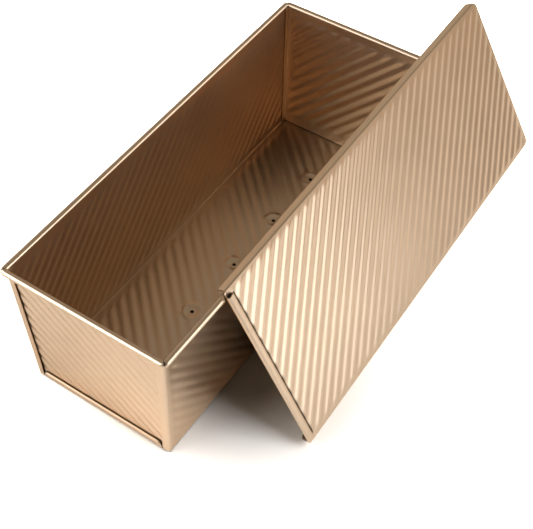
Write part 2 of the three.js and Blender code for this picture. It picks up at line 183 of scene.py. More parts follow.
print("rib depths in mm:", {panel: round(DEPTH * share, 2) for panel, share in SHARES.items()})

# %% [markdown]
# ## Sheet grids
# Pressed sheet is equally thick everywhere. Drawing both of its faces would be double work, and
# they could drift apart, so each sheet is drawn as its middle surface: a grid of points, with a
# cell wherever there is metal. The Solidify modifier then adds half the thickness on each side.
# Its result is kept as a plain mesh, smooth shaded, with sharp edges only where the metal ends.
# Eight grid steps for each rib, measured along the panel, are enough for a smooth wave.

# %% Grid helpers
STEPS_PER_RIB = 8
STEP = PITCH * math.sqrt(2) / STEPS_PER_RIB
TINY = 1e-6


def even_steps(start, end, step):
    """Numbers from start to end in equal steps of about one size."""
    count = max(1, round(abs(end - start) / step))
    return [start + (end - start) * i / count for i in range(count + 1)]


def grid_cells(points, rows, columns):
    """Cells between neighbouring rows and columns where all four points exist."""
    cells = []
    for low, high in zip(rows, rows[1:]):
        for left, right in zip(columns, columns[1:]):
            cell = [(low, left), (low, right), (high, right), (high, left)]
            if all(key in points for key in cell):
                cells.append(cell)
    return cells


print("grid step", round(STEP, 3), "mm")

# %% [markdown]
# A cell is four keys into a dictionary of points. To make a mesh of the cells, each key gets a
# number, and points that fall on each other are welded. The faces are then made to look the same
# way, or Solidify would thicken some of them to the wrong side. The mesh could be drawn in bmesh
# from the start, but a dictionary lets each later cell add its points to a sheet by name.

# %% From cells to a sheet metal piece
WELD = 0.02
SHARP_ANGLE = 50


def middle_surface(name, points, cells):
    """A mesh through the cells' points, with points that meet made one."""
    keys = sorted({key for cell in cells for key in cell}, key=repr)
    number = {key: i for i, key in enumerate(keys)}
    faces = [[number[key] for key in cell] for cell in cells]
    mesh = bpy.data.meshes.new(name + "_middle")
    mesh.from_pydata([to_metres(points[key]) for key in keys], [], faces)
    work = bmesh.new()
    work.from_mesh(mesh)
    bmesh.ops.remove_doubles(work, verts=work.verts, dist=WELD * MM)
    bmesh.ops.recalc_face_normals(work, faces=work.faces)
    work.to_mesh(mesh)
    work.free()
    return mesh


def sheet_object(name, points, cells, body, node):
    """A sheet metal piece that stands for one CAD node and rides on one body."""
    piece = bpy.data.objects.new(name, middle_surface(name, points, cells))
    bpy.context.collection.objects.link(piece)
    solidify = piece.modifiers.new("thickness", "SOLIDIFY")
    solidify.thickness = SHEET * MM
    solidify.offset = 0
    solidify.use_quality_normals = True
    view = bpy.context.evaluated_depsgraph_get()
    shape = bpy.data.meshes.new_from_object(piece.evaluated_get(view))
    piece.modifiers.clear()
    piece.data = shape
    shape.shade_smooth()
    shape.set_sharp_from_angle(angle=math.radians(SHARP_ANGLE))
    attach(piece, body)
    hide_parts(node)
    print(name, len(shape.polygons), "faces")
    return piece


print("points closer than", WELD, "mm become one")

# %% [markdown]
# ## Body sheet: its section
# One sheet makes the floor and both long walls. Cut across, it is a wide U with a rolled rim on
# each arm. A box with bevelled edges would give the U but not the rims. A folding press shapes
# the sheet line by line, and so does this list: one row of points for each line along the pan,
# from the free edge of one rolled rim down, over the floor and up to the other. A row knows its
# height, and the direction out of the sheet if ribs are pressed into it. The rims' middle line
# is drawn a hair inside its true radius, so that nothing stands past the CAD model's box.

# %% Rows of the body's section
TUCK = 0.03
CURL_RADIUS = BEAD - HALF - TUCK
CURL_END = -180 + math.degrees(math.acos((BEAD - SHEET - GAP) / BEAD))
CURL_TURN = 14
QUARTER_TURN = (22.5, 45, 67.5, 90)


def curl_point(angle):
    """A point of the rolled rim's middle line, outward and up from the wire's centre."""
    turn = math.radians(angle)
    return CURL_RADIUS * math.cos(turn), CURL_RADIUS * math.sin(turn)


def side_rows(side):
    """Rows of one long side, from the rolled rim's free edge down to the floor."""
    rows = []
    for angle in even_steps(CURL_END, 180, CURL_TURN):
        out, up = curl_point(angle)
        rows.append({"kind": "curl", "y": side * (RIM_Y + out), "z": RIM_Z + up})
    tilt = math.atan(WALL_SLOPE)
    outward = Vector((0, side * math.cos(tilt), -math.sin(tilt)))
    for z in even_steps(RIM_Z, FOLD, STEP)[1:]:
        rows.append({"kind": "wall", "y": side * (outer_y(z) - HALF), "z": z, "normal": outward})
    for angle in QUARTER_TURN[:-1]:
        turn = math.radians(-angle)
        out = BASE_WIDTH / 2 - FOLD + (FOLD - HALF) * math.cos(turn)
        rows.append({"kind": "fold", "y": side * out, "z": FOLD + (FOLD - HALF) * math.sin(turn)})
    for row in rows:
        row["side"] = side
    return rows


print("the rim curls through", round(180 - CURL_END), "degrees")

# %% [markdown]
# STRIP is how far each long wall wraps over the end, LIP the height of the floor's turned-up
# end, and RELIEF the notch between the two, which keeps the sheet from tearing when it is
# folded. The floor's rows could all keep the even grid, but then the lips would end between two
# rows. So four more rows stand where the flat part of the floor and its lips stop.

# %% Rows of the whole body
STRIP, LIP, RELIEF = 5.8, 7.6, 0.8
LIP_HALF = BASE_WIDTH / 2 - STRIP - RELIEF
FLAT_HALF = BASE_WIDTH / 2 - FOLD

side_count = int((FLAT_HALF - STEP / 2) / STEP)
lattice = [j * STEP for j in range(-side_count, side_count + 1)]
floor_ys = sorted(set(lattice + [FLAT_HALF, -FLAT_HALF, LIP_HALF, -LIP_HALF]), reverse=True)
downward = Vector((0, 0, -1))
floor_rows = [{"kind": "floor", "y": y, "z": HALF, "normal": downward, "side": 0}
              for y in floor_ys]
body_rows = side_rows(1) + floor_rows + side_rows(-1)[::-1]
print(len(body_rows), "rows in the body's section,", len(floor_rows), "of them in the floor")

# %% [markdown]
# ## Body sheet: its columns
# Along the pan the columns keep the same even step, so a rib at 45 degrees crosses the grid
# alike everywhere. The ends lean outward, so the rows aren't equally long. Cutting the grid
# along a slanted line would leave ragged cells. Instead the last twelve columns stretch or
# shrink a little until they meet each row's own end. Wall rows above STRIP_TOP end a little
# earlier, because the strips round the corners stop just below the rolled rim.

# %% Columns along the pan
EVEN_REACH = 146.0
STRETCHED_COLUMNS = 12
STRIP_TOP = RIM_Z - BEAD - 2 * GAP

even_count = int(EVEN_REACH / STEP)
last_column = even_count + STRETCHED_COLUMNS


def column_x(column, half):
    """Where a column stands in a row of this half length."""
    if abs(column) <= even_count:
        return column * STEP
    share = (abs(column) - even_count) / STRETCHED_COLUMNS
    reach = even_count * STEP
    return math.copysign(reach + (half - reach) * share, column)


def row_half(row):
    """How far along X a row's flat stretch goes before it turns, stops or curls."""
    if row["kind"] == "curl" or row["z"] > STRIP_TOP:
        return RIM_X - RIM_CORNER
    if row["kind"] == "wall":
        return outer_x(row["z"]) - CORNER
    if row["kind"] == "floor" and abs(row["y"]) <= LIP_HALF:
        return BASE_LENGTH / 2 - FOLD
    return BASE_LENGTH / 2 - SHEET - GAP


print(2 * last_column + 1, "columns between the folds of the ends")

# %% [markdown]
# ## Body sheet: ribs and vent dishes
# Five vents in the floor let steam out. Round each, the ribs give way to a low round ridge, with
# a shallow dish inside it and a hole in the middle. A separate ring could be laid on the floor,
# but on the real pan the dish is pressed with the ribs in one stroke. So one function mixes the
# two depths by the distance from the nearest vent, and every point of the floor asks it. DISH is
# the radius of the ridge and DISH_RIDGE its height, DISH_FLAT is the radius of the flat middle
# and HOLE that of the hole. The ribs come back over the width DISH_BLEND, which starts DISH_EDGE
# inside the ridge. The ribs of a long wall stop where the end panel's folded side, its flange,
# lies against the wall.

# %% Pressed depth of the body
FLANGE = 3.2
FLANGE_INSET = SHEET + SLOT + SHEET + FLANGE
VENT_SPACING = 56.25
VENTS = [VENT_SPACING * place for place in (-2, -1, 0, 1, 2)]
DISH, DISH_FLAT, HOLE, DISH_RIDGE = 6.8, 2.6, 1.5, 0.9
DISH_EDGE, DISH_BLEND = 0.5, 3.0


def dish_press(rib, x, y):
    """The pressed depth near a vent, where the rib gives way to the dish."""
    r = min(math.hypot(x - vent, y) for vent in VENTS)
    ridge = DISH_RIDGE * smooth((r - DISH_FLAT) / (DISH - DISH_FLAT))
    return ridge + (rib - ridge) * smooth((r - DISH + DISH_EDGE) / DISH_BLEND)


def wall_press(row, x):
    """The pressed depth of a long wall."""
    z, side = row["z"], row["side"]
    up = z * math.hypot(1, WALL_SLOPE)
    top = (RIM_Z - BEAD) * math.hypot(1, WALL_SLOPE)
    end = outer_x(z) - FLANGE_INSET + MARGIN - abs(x)
    edge = min(end, up - FOLD, top - up)
    return rib_depth(across_ribs(-side * x, up), edge, "left" if side > 0 else "right")


def floor_press(x, y):
    """The pressed depth of the floor."""
    edge = min(BASE_LENGTH / 2 - FOLD - abs(x), FLAT_HALF - abs(y))
    return dish_press(rib_depth(across_ribs(x, -y), edge, "floor"), x, y)


print("vents at x =", VENTS, "mm")

# %% [markdown]
# Now every row meets every column. A point starts on the smooth sheet and is then pressed in
# along the sheet's own direction and not straight down, so the ribs of a slanting wall keep
# their full depth. A Displace modifier could press a whole mesh with a texture, but a texture
# doesn't know how near a point is to the next fold.

# %% Points of the body
body_points = {}
for r, row in enumerate(body_rows):
    half = row_half(row)
    for column in range(-last_column, last_column + 1):
        x = column_x(column, half)
        point = Vector((x, row["y"], row["z"]))
        if row["kind"] == "wall":
            point -= row["normal"] * wall_press(row, x)
        elif row["kind"] == "floor":
            point -= row["normal"] * floor_press(x, row["y"])
        body_points[r, column] = point
print(len(body_points), "points before the ends are folded")

# %% [markdown]
# ## Body sheet: corners and rims
# At each end the long wall turns the upright corner and ends as a narrow strip over the end
# panel. Above the strip the rolled rim turns its own half of the corner, up to a slit where it
# meets the rim of the end panel. The corner could be a separate small piece, but on the real pan
# it is the same sheet, so the rows simply go on: each one gets more points past its last column.

# %% Points past the corner
CORNER_TURN, RIM_TURN = 15, 8
STRIP_STEP = 0.8
SLIT = math.degrees(GAP / RIM_CORNER)


def past_corner(row, end):
    """Points of a wall row round the upright corner and along the end strip."""
    z, side = row["z"], row["side"]
    radius = CORNER - HALF
    centre_x, centre_y = outer_x(z) - CORNER, outer_y(z) - CORNER
    points = []
    for angle in even_steps(90, 0, CORNER_TURN)[1:]:
        turn = math.radians(angle)
        points.append((centre_x + radius * math.cos(turn), centre_y + radius * math.sin(turn)))
    for run in even_steps(0, STRIP - CORNER, STRIP_STEP)[1:]:
        points.append((centre_x + radius, centre_y - run))
    return [Vector((end * x, side * y, z)) for x, y in points]


def rim_corner_point(end, side, angle, out, z):
    """A point in the rim's corner, from its angle and its distance outward from the wire."""
    turn, radius = math.radians(angle), RIM_CORNER + out
    x = RIM_X - RIM_CORNER + radius * math.cos(turn)
    y = RIM_Y - RIM_CORNER + radius * math.sin(turn)
    return Vector((end * x, side * y, z))


def past_rim(row, end):
    """Points of a rim row round its half of the corner, up to the slit between the rims."""
    out = abs(row["y"]) - RIM_Y
    angles = even_steps(90, 45 + SLIT, RIM_TURN)[1:]
    return [rim_corner_point(end, row["side"], angle, out, row["z"]) for angle in angles]


print("the slit in each rim corner is", round(2 * GAP, 1), "mm wide")

# %% [markdown]
# ## Body sheet: the low hemmed lips
# The floor turns up at each end as a low lip that holds the end panel's foot. Its top edge is
# rolled over into a hem, so that no raw edge is left to cut a hand. A bevel on the edge would
# only round it, and the real hem shows a line of shade below its roll. So the lip's profile is
# followed point by point, and it gets lower where the lip's own corners are rounded.

# %% Points past the floor
HEM, HEM_TURN, HEM_END = 0.9, 25, -70
HEM_NECK, HEM_DROP, HEM_WAIST = 1.2, 0.5, 0.7
LIP_ROUND, LIP_STEP = 2.6, 1.5


def lip_top(y):
    """The height of the hem's middle, lower where the lip's corner is rounded."""
    into_corner = max(0.0, abs(y) - (LIP_HALF - LIP_ROUND))
    drop = LIP_ROUND - math.sqrt(max(LIP_ROUND ** 2 - into_corner ** 2, 0))
    return LIP - HEM - drop


def past_floor(row, end):
    """Points of a floor row up the low lip and over its rolled hem."""
    radius = FOLD - HALF
    top = lip_top(row["y"])
    points = []
    for angle in (*QUARTER_TURN[-2::-1], 0):
        turn = math.radians(-angle)
        out, up = radius * math.cos(turn), radius * math.sin(turn)
        points.append((BASE_LENGTH / 2 - FOLD + out, FOLD + up))
    for z in even_steps(FOLD, top - HEM_NECK, LIP_STEP)[1:]:
        points.append((outer_x(z) - HALF, z))
    roll = HEM - HALF
    middle = outer_x(top) - HALF
    points.append((middle - HEM_WAIST * roll, top - HEM_DROP))
    for angle in even_steps(180, HEM_END, HEM_TURN):
        turn = math.radians(angle)
        points.append((middle + roll * math.cos(turn), top + roll * math.sin(turn)))
    return [Vector((end * x, row["y"], z)) for x, z in points]


print("the lips are", round(2 * LIP_HALF, 1), "mm wide and", LIP, "mm high")

# %% [markdown]
# The corners, rims and lips are now hung on their rows. A row between a strip and a lip gets
# nothing, and a cell needs all four of its points, so the notch between the two opens by itself.
# A Boolean cut through the finished sheet would leave it to chance which faces it splits.


# %% Cells of the body
def past_end(row, end):
    """The points that a row adds past one end of the pan."""
    if row["kind"] == "curl":
        return past_rim(row, end)
    if row["kind"] == "wall" and row["z"] <= STRIP_TOP:
        return past_corner(row, end)
    if row["kind"] == "floor" and abs(row["y"]) <= LIP_HALF + TINY:
        return past_floor(row, end)
    return []


most_added = 0
for r, row in enumerate(body_rows):
    for end in (-1, 1):
        added = past_end(row, end)
        most_added = max(most_added, len(added))
        for i, point in enumerate(added):
            body_points[r, end * (last_column + 1 + i)] = point
body_reach = last_column + most_added
body_columns = list(range(-body_reach, body_reach + 1))
body_cells = grid_cells(body_points, list(range(len(body_rows))), body_columns)
print(len(body_cells), "cells in the body sheet")

# %% [markdown]
# ## Air vents
# The holes are punched clean and round, and a square grid can't draw a circle. A Boolean would
# cut one but leave long thin faces that spoil the smooth shading of the dish. So a square patch
# of cells round each vent is taken out and filled again with rings: the first joins the square
# to a circle, and the others are smaller and smaller circles, down to the hole.

# %% Vent rings
PATCH = 6
RINGS = [8.3, 7.9, 7.5, 7.1, 6.6, 6.0, 5.4, 4.8, 4.2, 3.7, 3.3, 2.6, 2.0, HOLE]

row_at = {}
for r, row in enumerate(body_rows):
    steps = row["y"] / STEP
    if row["kind"] == "floor" and abs(steps - round(steps)) < TINY:
        row_at[round(steps)] = r


def square_ring(middle):
    """The keys round the square patch, in order, from one corner back to it."""
    ring = [(row_at[-PATCH], middle + i) for i in range(-PATCH, PATCH)]
    ring += [(row_at[j], middle + PATCH) for j in range(-PATCH, PATCH)]
    ring += [(row_at[PATCH], middle + i) for i in range(PATCH, -PATCH, -1)]
    ring += [(row_at[j], middle - PATCH) for j in range(PATCH, -PATCH, -1)]
    return ring


def add_vent(number, vent, cells):
    """Swap the square cells round one vent for rings that end at its hole."""
    middle = round(vent / STEP)
    span = range(-PATCH, PATCH + 1)
    patch = {(row_at[j], middle + i) for i in span for j in span}
    kept = [cell for cell in cells if not all(key in patch for key in cell)]
    previous = square_ring(middle)
    angles = [math.atan2(body_points[key].y, body_points[key].x - vent) for key in previous]
    for k, radius in enumerate(RINGS):
        current = []
        for i, angle in enumerate(angles):
            x, y = vent + radius * math.cos(angle), radius * math.sin(angle)
            key = (f"vent{number}", k, i)
            body_points[key] = Vector((x, y, HALF + floor_press(x, y)))
            current.append(key)
        for i in range(len(current)):
            j = (i + 1) % len(current)
            kept.append([previous[i], previous[j], current[j], current[i]])
        previous = current
    return kept


for number, vent in enumerate(VENTS):
    body_cells = add_vent(number, vent, body_cells)
body_sheet = sheet_object("body_sheet", body_points, body_cells, "pan", "pan_body_sheet")

# %% [markdown]
# ## End panels
# Each end is a sheet of its own behind the strips. Its sides fold back along the long walls as
# narrow flanges, and its top rolls outward round the wire. It could be a flat plane pushed into
# the gap, but then the corners would show no fold from inside. So a point is found from its
# height and its run, the distance from the middle of the panel as a tape would measure it along
# the sheet and round the fold. The same function makes both ends.

# %% Points of an end panel
PANEL_INSET = SHEET + GAP
PANEL_X = SLOT - GAP + PANEL_INSET
PANEL_BOTTOM = SHEET + FOLD / 2
PANEL_CORNER = CORNER - PANEL_INSET
PANEL_RADIUS = PANEL_CORNER - HALF
EVEN_SIDE = 54.0
STRETCH_STEPS, BEND_STEPS, FLANGE_STEPS = 5, 5, 3

bend = PANEL_RADIUS * math.pi / 2
even_side = int(EVEN_SIDE / STEP)
flat_last = even_side + STRETCH_STEPS
panel_last = flat_last + BEND_STEPS + FLANGE_STEPS


def panel_point(end, z, run):
    """A point of the panel's middle surface at a height and a run round the fold."""
    face = outer_x(z) - PANEL_X - HALF
    side_y = outer_y(z) - PANEL_INSET - HALF
    straight = side_y - PANEL_RADIUS
    beyond = abs(run) - straight
    if beyond <= 0:
        x, y = face, abs(run)
    elif beyond <= bend:
        turn = beyond / PANEL_RADIUS
        x = face - PANEL_RADIUS + PANEL_RADIUS * math.cos(turn)
        y = straight + PANEL_RADIUS * math.sin(turn)
    else:
        x, y = face - PANEL_RADIUS - (beyond - bend), side_y
    return Vector((end * x, math.copysign(1, run) * y, z))


def panel_runs(flat):
    """The runs of one half row: even steps, a stretch to the fold, the bend and the flange."""
    even = even_side * STEP
    runs = [count * STEP for count in range(even_side + 1)]
    runs += [even + (flat - even) * i / STRETCH_STEPS for i in range(1, STRETCH_STEPS + 1)]
    runs += [flat + bend * i / BEND_STEPS for i in range(1, BEND_STEPS + 1)]
    runs += [flat + bend + FLANGE * i / FLANGE_STEPS for i in range(1, FLANGE_STEPS + 1)]
    return runs


print("the flanges fold back", FLANGE, "mm, and a half row has", panel_last + 1, "points")

# %% [markdown]
# The panel is ribbed down to the lip that covers its foot, and its flanges stay plain and stop
# below the rim. Its rolled rim takes the other half of each rim corner, up to the slit. The far
# end could be a mirrored copy of the near end, but mirrored ribs would slant the wrong way, so
# one function makes both, with the direction of the end as a sign.


# %% End panels
def panel_wall(end, panel):
    """The points of one panel below its rolled rim, and their heights."""
    slope = math.atan(END_SLOPE)
    normal = Vector((end * math.cos(slope), 0, -math.sin(slope)))
    top = (RIM_Z - BEAD) * math.hypot(1, END_SLOPE)
    heights = even_steps(PANEL_BOTTOM, RIM_Z, STEP)
    points = {}
    for r, z in enumerate(heights):
        flat = outer_y(z) - PANEL_INSET - PANEL_CORNER
        runs = panel_runs(flat)
        up = z * math.hypot(1, END_SLOPE)
        for column in range(-panel_last, panel_last + 1):
            run = runs[abs(column)]
            point = panel_point(end, z, math.copysign(run, column))
            if run <= flat:
                to_side = outer_y(z) - PANEL_INSET - abs(point.y)
                edge = min(to_side, up - LIP + MARGIN / 2, top - up)
                point -= normal * rib_depth(across_ribs(end * point.y, up), edge, panel)
            points[r, column] = point
    return points, heights


def panel_rim(end, points, wall_top):
    """Add the rolled rim above a panel's top row, and return the last row's number."""
    corner_y = abs(points[wall_top, flat_last].y)
    widen = 1 + (RIM_Y - RIM_CORNER - corner_y) / corner_y
    corner_angles = even_steps(0, 45 - SLIT, RIM_TURN)[1:]
    r = wall_top
    for angle in even_steps(180, CURL_END, CURL_TURN)[1:]:
        out, up = curl_point(angle)
        r += 1
        for column in range(-flat_last, flat_last + 1):
            y = points[wall_top, column].y * widen
            points[r, column] = Vector((end * (RIM_X + out), y, RIM_Z + up))
        for way in (-1, 1):
            for j, turned in enumerate(corner_angles):
                point = rim_corner_point(end, way, turned, out, RIM_Z + up)
                points[r, way * (flat_last + 1 + j)] = point
    return r


def end_panel(name, node, end, panel):
    """One whole end panel. Its flanges stop below the rim."""
    points, heights = panel_wall(end, panel)
    wall_top = len(heights) - 1
    last_row = panel_rim(end, points, wall_top)
    cells = []
    for cell in grid_cells(points, range(last_row + 1), range(-panel_last, panel_last + 1)):
        (row, left), (_, right) = cell[:2]
        if row != wall_top or max(abs(left), abs(right)) <= flat_last:
            cells.append(cell)
    return sheet_object(name, points, cells, "pan", node)


near_panel = end_panel("near_end", "near_end_panel", -1, "near")
far_panel = end_panel("far_end", "far_end_panel", 1, "far")

# %% [markdown]
# ## The lid: where it leans
# The lid is one pressed sheet: a ribbed panel, a skirt round three sides, lips under its long
# sides that slide below the pan's rims, and a hollow roll along the near end as a grip. It is
# drawn flat in its own frame, with X along it and Y up the lean. One matrix then stands its
# lower long side on the table and leans it on the right rim, because a flat lid is far easier to
# draw than a slanted one. It isn't parked quite square: RISE lifts its far end and YAW turns it,
# each by a fraction of a degree, as a hand leaves it. LEAN follows from the lid's width and the
# height of the rim.

# %% The lid's place
LID_LENGTH, LID_WIDTH, SKIRT, LID_LIP = 356.0, 138.3, 8.3, 3.4
LID_NEAR_X = -107.0
RISE, YAW = math.radians(0.69), math.radians(0.41)

lid_rise = math.sin(RISE) * (RIM_X - LID_NEAR_X)
LEAN = math.asin((PAN_HEIGHT + GAP - lid_rise) / (LID_WIDTH - LID_LIP))
bead_depth = SKIRT - SHEET - GAP - BEAD
foot_y = -RIM_Y + (bead_depth - math.cos(LEAN) * RIM_Z) / math.sin(LEAN)
lid_place = (Matrix.Translation((LID_NEAR_X, foot_y, 0)) @ Matrix.Rotation(-RISE, 4, "Y")
             @ Matrix.Rotation(YAW, 4, "Z") @ Matrix.Rotation(LEAN, 4, "X")
             @ Matrix.Translation((0, 0, SKIRT)))
print("the lid leans at", round(math.degrees(LEAN), 2), "degrees, its foot at y", round(foot_y, 1))

# %% [markdown]
# ## The lid: its panel
# The panel is a rectangle with two rounded far corners. A subdivided plane with bevelled corners
# would bend the ribs near them. Here the rows lie closer together near each long side, so that
# every row ends on the rounded corner, and as on the pan's body the last columns stretch to it.

# %% Rows and columns of the lid
FAR_CORNER, CORNER_STEPS = 5.5, 6
ROLL_WIDTH, ROLL_HEIGHT, ROLL_PLAY = 6.6, 4.5, 0.05
NEAR_START = ROLL_HEIGHT / 2 + ROLL_PLAY
FAR_STRETCH, STRETCH_COLUMNS = 18.0, 10

corner_radius = FAR_CORNER - FOLD
corner_turns = [math.radians(90 * i / CORNER_STEPS) for i in range(CORNER_STEPS + 1)]
corner_ys = [FOLD + corner_radius * (1 - math.cos(turn)) for turn in corner_turns]
middle_count = round((LID_WIDTH - 2 * FAR_CORNER) / STEP)
middle_step = (LID_WIDTH - 2 * FAR_CORNER) / middle_count
middle_ys = [FAR_CORNER + i * middle_step for i in range(1, middle_count)]
lid_ys = corner_ys + middle_ys + [LID_WIDTH - y for y in corner_ys[::-1]]
lid_even = int((LID_LENGTH - FAR_STRETCH - NEAR_START) / STEP)
lid_last = lid_even + STRETCH_COLUMNS
print(len(lid_ys), "rows and", lid_last + 1, "columns in the lid's panel")

# %% [markdown]
# A flat lid is easier to press than a deep pan, so its ribs run nearer to the folds: LID_REACH
# brings them that much closer. Beside the roll they end a little earlier, because the roll's
# edge needs a flat seat. The panel could be given its ribs after the skirt is on, but then the
# folds would be pressed too, so the ribs come first.

# %% Points of the lid's panel
LID_REACH, ROLL_CLEAR = 2.4, 1


def lid_end(y):
    """Where the flat panel ends toward the far end, with its corners rounded."""
    to_side = min(y, LID_WIDTH - y) - FOLD
    into_corner = max(0.0, corner_radius - to_side)
    return LID_LENGTH - FAR_CORNER + math.sqrt(max(corner_radius ** 2 - into_corner ** 2, 0.0))


def lid_x(column, end):
    """Where a column stands in a row that stops at this end."""
    reach = NEAR_START + lid_even * STEP
    if column <= lid_even:
        return NEAR_START + column * STEP
    return reach + (end - reach) * (column - lid_even) / STRETCH_COLUMNS


lid_points = {}
for r, y in enumerate(lid_ys):
    for column in range(lid_last + 1):
        x = lid_x(column, lid_end(y))
        sides = min(lid_end(LID_WIDTH / 2) - x, y - FOLD, LID_WIDTH - FOLD - y) + LID_REACH
        edge = min(x - ROLL_WIDTH + MARGIN + ROLL_CLEAR, sides)
        rib = rib_depth(across_ribs(x, LID_WIDTH - y), edge, "lid")
        lid_points[r, column] = Vector((x, y, -HALF + rib))
lid_rows = list(range(len(lid_ys)))
lid_cells = grid_cells(lid_points, lid_rows, list(range(lid_last + 1)))
print(len(lid_cells), "cells in the lid's panel")

# %% [markdown]
# ## The lid: its roll
# At the near end the sheet turns up and back over itself as a hollow roll, and its edge tucks
# down onto the panel. A bevelled curve would give a tube that only touches the panel. The roll
# is the same sheet, so each row goes on along the roll's line: nearly half a circle up and over,
# then a tighter bend down to the panel. ROLL_SETBACK narrows the roll at both ends, where the
# real one stops short of the skirts.

# %% Lid roll
ROLL_SETBACK = 4.4
ROLL_TURN = 15
OUTER_ARC, INNER_ARC = (270, 105), (65, -10)
INNER_RADIUS, INNER_RISE = 1.25, 1.0
INNER_CENTRE = (ROLL_WIDTH - HALF - INNER_RADIUS, INNER_RISE)

roll_radius = ROLL_HEIGHT / 2 - HALF
outer_centre = (NEAR_START, roll_radius - HALF)


def arc(centre, radius, angles):
    """Points on a circle at some angles in degrees."""
    turns = [math.radians(angle) for angle in angles]
    return [(centre[0] + radius * math.cos(t), centre[1] + radius * math.sin(t)) for t in turns]


roll_line = arc(outer_centre, roll_radius, even_steps(*OUTER_ARC, ROLL_TURN)[1:])
roll_line += arc(INNER_CENTRE, INNER_RADIUS, even_steps(*INNER_ARC, ROLL_TURN))
roll_run = 0.0
last_place = Vector((NEAR_START, -HALF))
for i, (x, z) in enumerate(roll_line):
    roll_run += (Vector((x, z)) - last_place).length
    last_place = Vector((x, z))
    trim = FOLD + min(roll_run, ROLL_SETBACK - FOLD)
    for r, y in enumerate(lid_ys):
        lid_points[r, -1 - i] = Vector((x, min(max(y, trim), LID_WIDTH - trim), z))
lid_cells += grid_cells(lid_points, lid_rows, list(range(-len(roll_line), 1)))
print("the roll's line is", round(roll_run, 1), "mm long")

# %% [markdown]
# ## The lid: skirt and lips
# The skirt goes down from three sides of the panel, and under the long sides it turns inward as
# a lip. Extruding the border would be quick, but the fold needs its radius, and the far side has
# no lip. So one profile, the fold, the skirt, the second fold and the lip, is carried round the
# border, and each border point knows its own direction outward. At the near end the skirt is cut
# back at a slant, which leaves no sharp corner. The fold is drawn a hair tighter than its true
# radius, so that the lid stays inside the CAD model's box.

# %% The skirt's profile
LID_TUCK = 0.12
SKIRT_STEP, LIP_RUNS = 1.2, (0.7, 1.4, LID_LIP - FOLD)
fold_radius = FOLD - HALF - LID_TUCK

upper_fold, lower_fold = [], []
for angle in QUARTER_TURN:
    turn = math.radians(angle)
    out, drop = fold_radius * math.sin(turn), fold_radius * (1 - math.cos(turn))
    upper_fold.append((out, -HALF - drop))
    out, drop = fold_radius * math.cos(turn), fold_radius * math.sin(turn)
    lower_fold.append((out, -SKIRT + FOLD - drop))
straight = [(fold_radius, z) for z in even_steps(-FOLD, -SKIRT + FOLD, SKIRT_STEP)[1:]]
under = [(-run, -SKIRT + HALF) for run in LIP_RUNS]
profile = upper_fold + straight + lower_fold + under
skirt_levels = len(upper_fold + straight)
print(len(profile), "points down the skirt and under its lip")

# %% [markdown]
# The border is a list of the panel's own points: one long side, the far end and the other long
# side. The profile is swept along it point by point. A curve with a bevel object could sweep it
# too, but its points wouldn't meet the panel's, and a crack would show at the fold.

# %% Skirt and lips round the lid
NEAR_SLANT = 2.4

lower = [(0, column) for column in range(lid_last + 1)]
far = [(r, lid_last) for r in lid_rows[1:]]
upper = [(lid_rows[-1], column) for column in range(lid_last - 1, -1, -1)]
border = lower + far + upper


def outward(key):
    """The direction straight out of the panel's border."""
    r, column = key
    side = -1 if r < len(lid_ys) / 2 else 1
    if column != lid_last:
        return Vector((0, side))
    to_corner = r if side < 0 else len(lid_ys) - 1 - r
    turn = corner_turns[min(to_corner, CORNER_STEPS)]
    return Vector((math.sin(turn), side * math.cos(turn)))


for k, (out, z) in enumerate(profile):
    for i, key in enumerate(border):
        base, direction = lid_points[key], outward(key)
        slant = NEAR_SLANT * max(0.0, -z) / SKIRT if key[1] == 0 else 0.0
        moved = (base.x + slant + direction.x * out, base.y + direction.y * out, z)
        lid_points["skirt", k, i] = Vector(moved)
for k in range(len(profile)):
    for i in range(len(border) - 1):
        j = i + 1
        is_long = i < lid_last or i >= len(border) - lid_last - 1
        if k >= skirt_levels and not is_long:
            continue
        top = (border[i], border[j]) if k == 0 else (("skirt", k - 1, i), ("skirt", k - 1, j))
        lid_cells.append([top[0], top[1], ("skirt", k, j), ("skirt", k, i)])
placed = {key: lid_place @ point for key, point in lid_points.items()}
lid = sheet_object("lid", placed, lid_cells, "lid", "sliding_lid")

# %% [markdown]
# ## The lid: painted shade in its seam
# The real lid has a thin dark line where the roll's edge tucks down: shade falls in that crease,
# and here it is painted shade. A painted texture would need a very fine picture, and a second
# material would end in a hard step. So the points beside the roll carry a number, kept as the mesh
# attribute "seam_shade", and the coating below reads it and turns dark there. Between marked and
# unmarked points it fades.

# %% Painted shade beside the roll
SEAM_START, SEAM_END, SEAM_TOP, SEAM_SHORT = 5.0, 8.5, 0.6, 1
SEAM_LOW, SEAM_HIGH = ROLL_SETBACK, LID_WIDTH - ROLL_SETBACK - SEAM_SHORT
SEAM_SHADE_DARKNESS = 0.95

# Painted shade: the points beside the roll are marked, and the coating darkens them.
seam_shade = lid.data.attributes.new("seam_shade", "FLOAT", "POINT")
to_lid = lid_place.inverted()
for vertex, mark in zip(lid.data.vertices, seam_shade.data):
    place = to_lid @ (vertex.co / MM - PAN_SHIFT)
    along_roll = SEAM_LOW < place.y < SEAM_HIGH
    beside_roll = along_roll and SEAM_START < place.x < SEAM_END and -HALF < place.z < SEAM_TOP
    mark.value = SEAM_SHADE_DARKNESS if beside_roll else 0.0
print("seam points:", sum(1 for mark in seam_shade.data if mark.value > 0))

# %% [markdown]
# ## Node helpers
# A finish is a chain of nodes. Each node could be placed in the editor by hand, but in a script
# a few helpers keep the chain readable: one feeds a socket from another socket or from a plain
# value, and the others make one kind of node and return the socket that holds its result.

# %% Node helpers
MIX_SOCKETS = {"FLOAT": (2, 3, 0), "RGBA": (6, 7, 2)}


def feed(tree, source, socket):
    """Feed a socket from another socket, or set it to a plain value."""
    if isinstance(source, bpy.types.NodeSocket):
        tree.links.new(source, socket)
    else:
        socket.default_value = source


